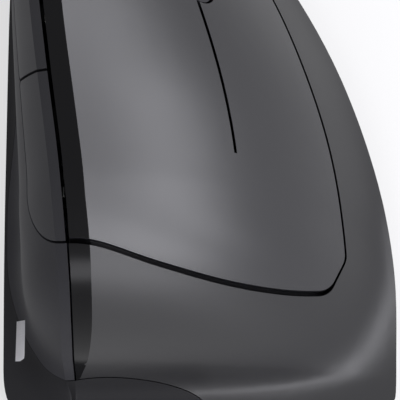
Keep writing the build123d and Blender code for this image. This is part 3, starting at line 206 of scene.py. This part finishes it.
FINISHES: dict[str, Finish] = {
    # satin-painted ABS: the palm and the flank catch one soft band of light
    "shell_plastic": Finish(
        "satin_painted_abs", "#161618", "#141416", 0.42,
        grain_mm=0.25, bump=0.04, specular=0.34),
    # spark-textured ABS: the thumb's wall stays dull and even
    "grip_plastic": Finish(
        "spark_textured_abs", "#29292c", "#252528", 0.62,
        grain_mm=0.3, bump=0.08, specular=0.13),
    # ABS from a coarse mould: the base is the darkest and dullest shell
    "base_plastic": Finish(
        "moulded_abs_base", "#161618", "#141416", 0.62,
        grain_mm=0.3, bump=0.08, specular=0.13),
    # ABS under a soft-touch coat: a broad even sheen
    "panel_plastic": Finish(
        "soft_touch_abs", "#19191c", "#161619", 0.38,
        grain_mm=0.2, bump=0.03, specular=0.44),
    # ABS from a polished mould, with painted shade: its near-black colour and weak specular stand
    # in for the shade on the upward strip along the ridge gap, which is the same plastic as the
    # panel and the shell; faint, sharp reflections
    "facet": Finish(
        "polished_abs_painted_shade", "#0c0c0d", "#0a0a0b", 0.2,
        relief=Surface.SMOOTH, specular=0.07),
    # satin-moulded ABS: a trace glossier than the wall around it
    "button_plastic": Finish(
        "satin_moulded_abs", "#29292c", "#252528", 0.55,
        grain_mm=0.2, bump=0.04, specular=0.16),
    # moulded rubber: deep black, dull and grainy
    "tyre_rubber": Finish(
        "moulded_rubber", "#1b1b1c", "#161617", 0.7,
        grain_mm=0.3, bump=0.12),
    # unpainted moulded ABS: plain dark grey with a weak shine
    "inner_plastic": Finish("moulded_abs_inner", "#3c3c3f", "#353538", 0.5),
    # spark-textured ABS: the door and the receiver's cap read a shade apart from the base
    "door_plastic": Finish(
        "spark_textured_abs_door", "#2b2b2d", "#262628", 0.5,
        grain_mm=0.3, bump=0.08),
    # moulded nylon: matt black, so that no switch shows through the ridge gap
    "switch_plastic": Finish(
        "moulded_nylon", "#0e0e10", "#0b0b0c", 0.6, specular=0.2),
    # moulded acetal: waxy white, a small dot on each switch and the ribbons' plugs
    "plunger_plastic": Finish("moulded_acetal", "#e6e4dc", "#dcdad2", 0.4),
    # glass-fibre board under matt black lacquer: near black with a green cast
    "board": Finish(
        "lacquered_board", "#0e1512", "#0b110e", 0.5,
        relief=Surface.SMOOTH, specular=0.3),
    # moulded epoxy resin: flat charcoal blocks on the board
    "chip": Finish("moulded_epoxy", "#18181a", "#141416", 0.45),
    # polished clear acrylic: a glassy window over the sensor, and the lamp beside it
    "lens_plastic": Finish(
        "polished_acrylic", "#e8ecef", "#e0e6ea", 0.08,
        relief=Surface.SMOOTH, transmission=0.85),
    # low-friction fluoropolymer film: pale, waxy and slightly clouded
    "foot_plastic": Finish(
        "fluoropolymer_film", "#8c8c90", "#848488", 0.35,
        grain_mm=0.4, bump=0.05),
    # nickel-plated steel, lightly brushed: bright with soft streaks
    "steel": Finish(
        "brushed_nickel_plated_steel", "#b8bbbf", "#aeb1b5", 0.28,
        relief=Surface.BRUSHED, grain_mm=0.15, metallic=1.0),
    # printed shrink film: glossy blue around the cells
    "cell_jacket": Finish(
        "printed_shrink_film", "#2f4f86", "#29467a", 0.25,
        relief=Surface.SMOOTH, coat=0.5),
    # laminated polyester ribbon: smooth and off-white
    "ribbon": Finish(
        "laminated_ribbon", "#d9d9d4", "#cfcfca", 0.4, relief=Surface.SMOOTH),
    # printed matt ink: a flat pale bar
    "bar_ink": Finish(
        "printed_ink", "#e9e9eb", "#e1e1e3", 0.5, grain_mm=0.15, bump=0.03),
}


# nodes whose mould gives them another face than the rest of their slot
NODE_FINISHES = {"thumb_shell": "grip_plastic", "base_shell": "base_plastic"}


class Painter:
    """Gives each CAD node the finish of its material slot."""

    def __init__(self, record: dict) -> None:
        """Read the nodes' slots from the record."""
        self.slots: dict[str, str] = {
            row["node"]: row["material_slot"] for row in record["subparts"]}
        self.made: dict[str, bpy.types.Material] = {}

    def material(self, finish: str) -> bpy.types.Material:
        """Return a finish's material, made on first use.

        Args:
            finish: Key of the finish, which is a slot's name for most.

        Returns:
            The material.
        """
        if finish not in self.made:
            self.made[finish] = FINISHES[finish].build()
        return self.made[finish]

    def paint(self, nodes: dict[str, bpy.types.Object]) -> None:
        """Assign every node's material.

        Args:
            nodes: The CAD objects by node name.
        """
        for name, node in nodes.items():
            material = self.material(NODE_FINISHES.get(name, self.slots[name]))
            node.data.materials.clear()
            node.data.materials.append(material)
            log.info("painted %s with %s", name, material.name)


def new_object(name: str, mesh: bpy.types.Mesh) -> bpy.types.Object:
    """Put a mesh into the scene as an object at the origin.

    Args:
        name: Name of the object.
        mesh: Its mesh.

    Returns:
        The new object.
    """
    piece = bpy.data.objects.new(name, mesh)
    bpy.context.scene.collection.objects.link(piece)
    return piece


def settle(name: str, shape: bmesh.types.BMesh) -> bpy.types.Object:
    """Turn a bmesh into an object of the scene and free it.

    Args:
        name: Name of the object and of its mesh.
        shape: The bmesh.

    Returns:
        The new object.
    """
    mesh = bpy.data.meshes.new(name)
    shape.to_mesh(mesh)
    shape.free()
    return new_object(name, mesh)


def node_copy(node: str) -> bmesh.types.BMesh:
    """Return a bmesh copy of a CAD node's mesh.

    Args:
        node: Name of the node.

    Returns:
        The copy.
    """
    shape = bmesh.new()
    shape.from_mesh(frame["nodes"][node].data)
    return shape


class Twin:
    """Merged copy of a CAD node that keeps the node's smooth normals and takes its place."""

    merge_mm = 0.002
    sliver_mm = 0.0005

    def __init__(self, node: str) -> None:
        """Copy the node's mesh and merge its loose triangles.

        Args:
            node: Name of the CAD node.
        """
        self.node = node
        normals = [tuple(corner.vector) for corner in frame["nodes"][node].data.corner_normals]
        shape = node_copy(node)
        kept = shape.loops.layers.float_vector.new("kept")
        loops = (loop for face in shape.faces for loop in face.loops)
        for loop, normal in zip(loops, normals):
            loop[kept] = normal
        bmesh.ops.remove_doubles(shape, verts=shape.verts, dist=self.merge_mm * MM)
        bmesh.ops.dissolve_degenerate(shape, edges=shape.edges, dist=self.sliver_mm * MM)
        self.piece = settle(f"dressed_{node}", shape)

    def finish(self, materials: list[bpy.types.Material], slot: str, body: str) -> bpy.types.Object:
        """Put the kept normals back, dress the copy and let it stand for its node.

        Args:
            materials: Materials in the order of the faces' indices.
            slot: The record's material slot; not used.
            body: The body that carries the copy.

        Returns:
            The finished piece.
        """
        mesh = self.piece.data
        normals = [Vector(row.vector) for row in mesh.attributes["kept"].data]
        mesh.attributes.remove(mesh.attributes["kept"])
        mesh.polygons.foreach_set("use_smooth", [True] * len(mesh.polygons))
        mesh.normals_split_custom_set(normals)
        for material in materials:
            mesh.materials.append(material)
        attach(self.piece, body)
        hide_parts(self.node)
        log.info("%s stands for %s", self.piece.name, self.node)
        return self.piece


@dataclass
class TopPanels:
    """The finger panel's cover and keys, with the glossy facet along the ridge gap, whose
    near-black material is painted shade.

    Args:
        seam_y: Where the keys' thin root lies, in millimetres.
        seam_half: Half the width of the root line that is closed.
        crease: Line between the facet and the panel, as (y, x) in millimetres.
        least_up: Least upward share of a facet face's normal.
    """

    seam_y: float = -9.80
    seam_half: float = 0.04
    crease: tuple[tuple[float, float], ...] = (
        (-56.0, -23.0), (-50.0, -23.0), (-47.6, -22.35), (-45.2, -20.75), (-40.4, -19.45),
        (-34.0, -19.1), (-26.0, -19.35), (-14.0, -20.35), (2.0, -22.5), (20.0, -24.75),
        (38.0, -26.25), (44.0, -26.3), (50.0, -26.25), (54.0, -25.2), (57.0, -23.1),
        (60.0, -20.0),
    )
    least_up: float = 0.12

    def crease_x(self, y: float) -> float:
        """Return the crease's x at a y, in millimetres.

        Args:
            y: Place along the mouse, in millimetres.

        Returns:
            The x of the crease there.
        """
        for (y0, x0), (y1, x1) in zip(self.crease, self.crease[1:]):
            if y <= y1:
                return x0 + (x1 - x0) * (y - y0) / (y1 - y0)
        return self.crease[-1][1]

    def close_seam(self, mesh: bpy.types.Mesh) -> None:
        """Move the edges of a key's root, or of the cover beside it, onto one line.

        Args:
            mesh: The mesh of the key or of the cover.
        """
        for point in mesh.vertices:
            if abs(point.co.y / MM - self.seam_y) < self.seam_half:
                point.co.y = self.seam_y * MM

    def mark_painted_shade_facet(self, mesh: bpy.types.Mesh) -> None:
        """Give the upward faces left of the crease the second material, which paints shade on the
        facet.

        Args:
            mesh: The mesh to mark.
        """
        for face in mesh.polygons:
            x, y, _ = face.center / MM
            if face.normal.z > self.least_up and x < self.crease_x(y):
                face.material_index = 1

    def build(self, painter: Painter) -> None:
        """Make the four pieces that share the facet.

        Args:
            painter: Source of the materials.
        """
        for node, slot, body in (("key_cover", "panel_plastic", "mouse_body"),
                                 ("left_key", "panel_plastic", "left_key_body"),
                                 ("right_key", "panel_plastic", "right_key_body"),
                                 ("finger_shell", "shell_plastic", "mouse_body")):
            twin = Twin(node)
            if slot == "panel_plastic":
                self.close_seam(twin.piece.data)
            # the facet's faces take the near-black material, a painted shade
            self.mark_painted_shade_facet(twin.piece.data)
            twin.finish([painter.material(slot), painter.material("facet")], slot, body)


@dataclass
class LightBar:
    """Plain pale bar printed on the thumb flange.

    Args:
        rear: Rear end of its middle line, as (x, y) in millimetres.
        front: Front end of its middle line.
        width: Width in millimetres.
        lift: Height of the ink above the plastic.
        steps: Rows along the bar.
        corner: Radius of its rear right corner.
        drop: Height from which rays fall to find the plastic.
    """

    rear: tuple[float, float] = (-34.2, -43.8)
    front: tuple[float, float] = (-33.9, -36.4)
    width: float = 1.75
    lift: float = 0.04
    steps: int = 16
    corner: float = 0.8
    drop: float = 100.0

    def right_edge(self, along: float) -> float:
        """Return how far the bar reaches to the right of its middle line.

        Args:
            along: Distance from the bar's rear end, in millimetres.

        Returns:
            The reach in millimetres, less inside the rounded corner.
        """
        cut = max(0.0, self.corner - along)
        return self.width / 2 - (self.corner - math.sqrt(max(self.corner ** 2 - cut ** 2, 0.0)))

    def build(self, painter: Painter) -> None:
        """Lay the bar on the base and the thumb shell below it.

        Args:
            painter: Source of the material.
        """
        trees = []
        for node in ("base_shell", "thumb_shell"):
            below = node_copy(node)
            trees.append(BVHTree.FromBMesh(below))
            below.free()
        shape = bmesh.new()
        rows = []
        for step in range(self.steps + 1):
            share = step / self.steps
            x, y = (start + (stop - start) * share for start, stop in zip(self.rear, self.front))
            row = []
            for across in (-self.width / 2, self.right_edge(y - self.rear[1])):
                place = ((x + across) * MM, y * MM)
                fall = Vector((*place, self.drop * MM))
                hits = [tree.ray_cast(fall, Vector((0, 0, -1)))[0] for tree in trees]
                top = max(hit.z for hit in hits if hit is not None)
                row.append(shape.verts.new((*place, top + self.lift * MM)))
            rows.append(row)
        for low, high in zip(rows, rows[1:]):
            shape.faces.new((low[0], low[1], high[1], high[0]))
        bmesh.ops.solidify(shape, geom=shape.faces[:], thickness=self.lift * MM)
        bmesh.ops.recalc_face_normals(shape, faces=shape.faces[:])
        piece = settle("light_bar", shape)
        piece.data.materials.append(painter.material("bar_ink"))
        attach(piece, "mouse_body")
        # the record has no slot for ink, so the bar is given none
        log.info("light bar laid")


# cross-section of a ridge, as (share of its width, share of its height)
RIDGE_PROFILE = ((-0.5, 0.0), (-0.28, -0.75), (0.0, -1.0), (0.28, -0.75), (0.5, 0.0))


@dataclass
class GripRidges:
    """Row of small ridges on a flat that faces down, made with Geometry Nodes.

    Args:
        name: Name of the piece.
        body: The body that carries it.
        slot: The record's material slot.
        centre: Middle of the row, in millimetres.
        length: Length of one ridge.
        width: Width of one ridge.
        height: How far a ridge stands proud.
        pitch: Distance between ridges.
        count: Number of ridges.
    """

    name: str
    body: str
    slot: str
    centre: Place
    length: float
    width: float
    height: float
    pitch: float
    count: int

    def ridge(self) -> bpy.types.Object:
        """Make the row's first ridge as a closed bar.

        Returns:
            The ridge.
        """
        shape = bmesh.new()
        x, y, z = self.centre
        y -= self.pitch * (self.count - 1) / 2
        near, far = ([shape.verts.new(((x + side * self.length / 2) * MM,
                                       (y + across * self.width) * MM,
                                       (z + depth * self.height) * MM))
                      for across, depth in RIDGE_PROFILE] for side in (-1, 1))
        for k in range(len(near)):
            after = (k + 1) % len(near)
            shape.faces.new((near[k], near[after], far[after], far[k]))
        shape.faces.new(near[::-1])
        shape.faces.new(far)
        bmesh.ops.recalc_face_normals(shape, faces=shape.faces[:])
        return settle(f"{self.name}_seed", shape)

    def tree(self, material: bpy.types.Material) -> tuple[bpy.types.NodeTree, dict[str, str]]:
        """Make the node tree that repeats one ridge along Y.

        Args:
            material: Material of the ridges.

        Returns:
            The tree and the socket identifiers of its named inputs.
        """
        tree = bpy.data.node_groups.new(f"{self.name}_tree", "GeometryNodeTree")
        face = tree.interface
        face.new_socket("Geometry", in_out="INPUT", socket_type="NodeSocketGeometry")
        ids = {}
        for label, kind in (("Count", "NodeSocketInt"), ("Pitch", "NodeSocketFloat")):
            ids[label] = face.new_socket(label, in_out="INPUT", socket_type=kind).identifier
        face.new_socket("Geometry", in_out="OUTPUT", socket_type="NodeSocketGeometry")
        start = add_node(tree, "NodeGroupInput")
        step = add_node(tree, "ShaderNodeCombineXYZ", values={"Y": start.outputs["Pitch"]})
        line = add_node(tree, "GeometryNodeMeshLine", {"mode": "OFFSET"}, {
            "Count": start.outputs["Count"], "Offset": step.outputs["Vector"]})
        spread = add_node(tree, "GeometryNodeInstanceOnPoints", values={
            "Points": line.outputs["Mesh"], "Instance": start.outputs["Geometry"]})
        real = add_node(tree, "GeometryNodeRealizeInstances", values={
            "Geometry": spread.outputs["Instances"]})
        dress = add_node(tree, "GeometryNodeSetMaterial", values={
            "Geometry": real.outputs["Geometry"], "Material": material})
        add_node(tree, "NodeGroupOutput", values={"Geometry": dress.outputs["Geometry"]})
        return tree, ids

    def build(self, painter: Painter) -> None:
        """Make the row as one plain mesh.

        Args:
            painter: Source of the material.
        """
        material = painter.material(self.slot)
        seed = self.ridge()
        seed.data.materials.append(material)
        tree, ids = self.tree(material)
        modifier = seed.modifiers.new("ridges", "NODES")
        modifier.node_group = tree
        modifier[ids["Count"]] = self.count
        modifier[ids["Pitch"]] = self.pitch * MM
        bpy.context.view_layer.update()
        shaped = seed.evaluated_get(bpy.context.evaluated_depsgraph_get())
        mesh = bpy.data.meshes.new_from_object(shaped)
        seed.modifiers.remove(modifier)
        bpy.data.objects.remove(seed)
        mesh.name = self.name
        piece = new_object(self.name, mesh)
        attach(piece, self.body)
        log.info("%s: %d ridges", self.name, self.count)


@dataclass
class Cells:
    """The two dry cells: printed jacket and bare steel ends.

    Args:
        end_mm: Length of bare metal at each end.
        flat_share: Least share of a normal along X on a flat end.
    """

    end_mm: float = 1.0
    flat_share: float = 0.7

    def build(self, painter: Painter) -> None:
        """Dress both cells.

        Args:
            painter: Source of the materials.
        """
        for node in ("cell_1", "cell_2"):
            twin = Twin(node)
            self.mark_metal(twin.piece.data, *(corner[0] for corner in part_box(node)))
            twin.finish([painter.material("cell_jacket"), painter.material("steel")],
                        "cell_jacket", "mouse_body")

    def mark_metal(self, mesh: bpy.types.Mesh, low: float, high: float) -> None:
        """Give the ends the second material.

        Args:
            mesh: The cell's mesh, which lies along X.
            low: The x of its lower end, in metres.
            high: The x of its upper end, in metres.
        """
        jacket_half = (high - low) / 2 - self.end_mm * MM
        for face in mesh.polygons:
            along = abs(face.center.x - (low + high) / 2)
            if along > jacket_half or abs(face.normal.x) > self.flat_share:
                face.material_index = 1


@dataclass
class CameraRig:
    """The camera at the photograph's viewing angle.

    Args:
        elevation: Height angle in degrees.
        distance_mm: Distance from the target.
        pixels_per_mm: Scale of the image at the target.
        image_pixels: Width of the image.
        sensor_mm: Width of the sensor.
        target_mm: Point at the image's centre.
        clip: Nearest and farthest distance that shows, in metres.
    """

    elevation: float = 82.0
    distance_mm: float = 520.0
    pixels_per_mm: float = 5.45
    image_pixels: int = 400
    sensor_mm: float = 36.0
    target_mm: Place = (0.0, -16.0, 30.0)
    clip: tuple[float, float] = (0.01, 10.0)

    def build(self) -> None:
        """Make the camera and make it the scene's camera."""
        angle = math.radians(self.elevation)
        data = bpy.data.cameras.new("camera")
        data.sensor_width = self.sensor_mm
        data.lens = self.pixels_per_mm * self.distance_mm * self.sensor_mm / self.image_pixels
        data.clip_start, data.clip_end = self.clip
        camera = bpy.data.objects.new("camera", data)
        bpy.context.scene.collection.objects.link(camera)
        away = Vector((0, -math.cos(angle), math.sin(angle)))
        camera.location = Vector(self.target_mm) * MM + away * self.distance_mm * MM
        camera.rotation_euler = (-away).to_track_quat("-Z", "Y").to_euler()
        bpy.context.scene.camera = camera


@dataclass(frozen=True)
class Softbox:
    """One soft lamp that faces the mouse.

    Args:
        name: Name of the lamp.
        azimuth: Direction in degrees, counted from +X towards +Y.
        elevation: Height angle in degrees.
        size: Width and height in metres.
        power: Power in watts.
        distance: Distance from the mouse in metres.
        aim: The point that it faces, in metres.
        tint: Its colour, with the slight blue of a studio tube.
    """

    name: str
    azimuth: float
    elevation: float
    size: tuple[float, float]
    power: float
    distance: float = 1.0
    aim: Place = (0.0, -0.01, 0.04)
    tint: tuple[float, float, float] = (0.95, 0.945, 1.0)

    def build(self) -> None:
        """Make the lamp."""
        turn, rise = math.radians(self.azimuth), math.radians(self.elevation)
        away = Vector((math.cos(rise) * math.cos(turn), math.cos(rise) * math.sin(turn),
                       math.sin(rise)))
        data = bpy.data.lights.new(self.name, "AREA")
        data.shape = "RECTANGLE"
        data.size, data.size_y = self.size
        data.energy = self.power
        data.color = self.tint
        lamp = bpy.data.objects.new(self.name, data)
        lamp.visible_camera = False
        lamp.location = Vector(self.aim) + away * self.distance
        lamp.rotation_euler = (-away).to_track_quat("-Z", "Y").to_euler()
        bpy.context.scene.collection.objects.link(lamp)
        log.info("lamp %s", self.name)


SOFTBOXES = (
    Softbox("front_box", 46.0, 34.0, (0.4, 0.45), 4.0),
    Softbox("side_box", 14.0, 34.0, (0.4, 0.45), 4.8),
    Softbox("rear_side_box", -18.0, 33.0, (0.4, 0.45), 5.6),
    Softbox("rear_box", -50.0, 27.0, (0.4, 0.45), 6.0),
    Softbox("low_box", -76.0, 9.0, (0.6, 0.26), 4.8),
    Softbox("thumb_fill", 165.0, 62.0, (0.7, 0.7), 4.5),
)
WHITE = (1.0, 1.0, 1.0, 1.0)


def seen_rays(tree: bpy.types.NodeTree) -> bpy.types.NodeSocket:
    """Add an output that is one for camera, glossy and transmission rays.

    Args:
        tree: The tree of a material or of the world.

    Returns:
        The output.
    """
    path = add_node(tree, "ShaderNodeLightPath")
    first = add_node(tree, "ShaderNodeMath", {"operation": "ADD"}, {
        0: path.outputs["Is Camera Ray"], 1: path.outputs["Is Glossy Ray"]})
    total = add_node(tree, "ShaderNodeMath", {"operation": "ADD", "use_clamp": True}, {
        0: first.outputs["Value"], 1: path.outputs["Is Transmission Ray"]})
    return total.outputs["Value"]


@dataclass
class Studio:
    """The pale floor, the white surround and the lamps.

    Args:
        floor_size: Side of the floor in metres.
        floor_colour: Linear colour that takes the light and the shadow.
        floor_roughness: Roughness of the floor.
        floor_glow: Glow that lifts the floor to white for seen rays.
        surround: Strength of the surround for all other rays.
        lamps: The lamps.
    """

    floor_size: float = 6.0
    floor_colour: Colour = (0.25, 0.25, 0.25, 1.0)
    floor_roughness: float = 0.9
    floor_glow: float = 0.6
    surround: float = 0.15
    lamps: tuple[Softbox, ...] = SOFTBOXES

    def build(self) -> None:
        """Make the floor, the world and the lamps."""
        mesh = bpy.data.meshes.new("floor")
        half = self.floor_size / 2
        corners = [(-half, -half, 0), (half, -half, 0), (half, half, 0), (-half, half, 0)]
        mesh.from_pydata(corners, [], [(0, 1, 2, 3)])
        mesh.materials.append(self.floor_material())
        new_object("floor", mesh)
        self.world()
        for lamp in self.lamps:
            lamp.build()

    def floor_material(self) -> bpy.types.Material:
        """Make the floor's material, which shows pale and keeps the shadow.

        Returns:
            The new material.
        """
        material = bpy.data.materials.new("matt_paper")
        material.use_nodes = True
        tree = material.node_tree
        shader = tree.nodes["Principled BSDF"]
        shader.inputs["Base Color"].default_value = self.floor_colour
        shader.inputs["Roughness"].default_value = self.floor_roughness
        shader.inputs["Specular IOR Level"].default_value = 0.0
        glow = add_node(tree, "ShaderNodeEmission", values={
            "Color": WHITE, "Strength": self.floor_glow})
        join = add_node(tree, "ShaderNodeAddShader", values={
            0: shader.outputs["BSDF"], 1: glow.outputs["Emission"]})
        choose = add_node(tree, "ShaderNodeMixShader", values={
            0: seen_rays(tree), 1: shader.outputs["BSDF"], 2: join.outputs["Shader"]})
        tree.links.new(choose.outputs["Shader"], tree.nodes["Material Output"].inputs["Surface"])
        return material

    def world(self) -> None:
        """Make the surround, which is dim as a light and white to seen rays."""
        world = bpy.data.worlds.new("studio")
        bpy.context.scene.world = world
        world.use_nodes = True
        tree = world.node_tree
        back = tree.nodes["Background"]
        back.inputs["Color"].default_value = WHITE
        level = add_node(tree, "ShaderNodeMapRange", values={
            "Value": seen_rays(tree), "To Min": self.surround, "To Max": 1.0})
        tree.links.new(level.outputs["Result"], back.inputs["Strength"])


@dataclass
class Underside:
    """The grip ridges of the battery door and of the power knob.

    Args:
        door_inset: Distance of the door's ridges from its free edge, in millimetres.
    """

    door_inset: float = 8.0

    def build(self, painter: Painter) -> None:
        """Make both rows.

        Args:
            painter: Source of the materials.
        """
        low, high = (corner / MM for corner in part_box("battery_door"))
        GripRidges("door_ridges", "battery_door_body", "door_plastic",
                   centre=((low.x + high.x) / 2, low.y + self.door_inset, low.z),
                   length=16.0, width=0.8, height=0.25, pitch=1.3, count=6).build(painter)
        low, high = (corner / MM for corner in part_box("power_knob"))
        GripRidges("knob_ridges", "power_knob_body", "inner_plastic",
                   centre=((low.x + high.x) / 2, (low.y + high.y) / 2, low.z),
                   length=1.6, width=0.4, height=0.15, pitch=0.6, count=4).build(painter)


def main() -> None:
    """Light the frame, place the camera and dress the mouse."""
    logging.basicConfig(level=logging.INFO)
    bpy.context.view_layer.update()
    bpy.context.scene.view_settings.view_transform = "Standard"
    CameraRig().build()
    Studio().build()
    painter = Painter(frame["record"])
    painter.paint(frame["nodes"])
    for assembly in (TopPanels(), LightBar(), Cells(), Underside()):
        assembly.build(painter)


if __name__ == "__main__":
    main()
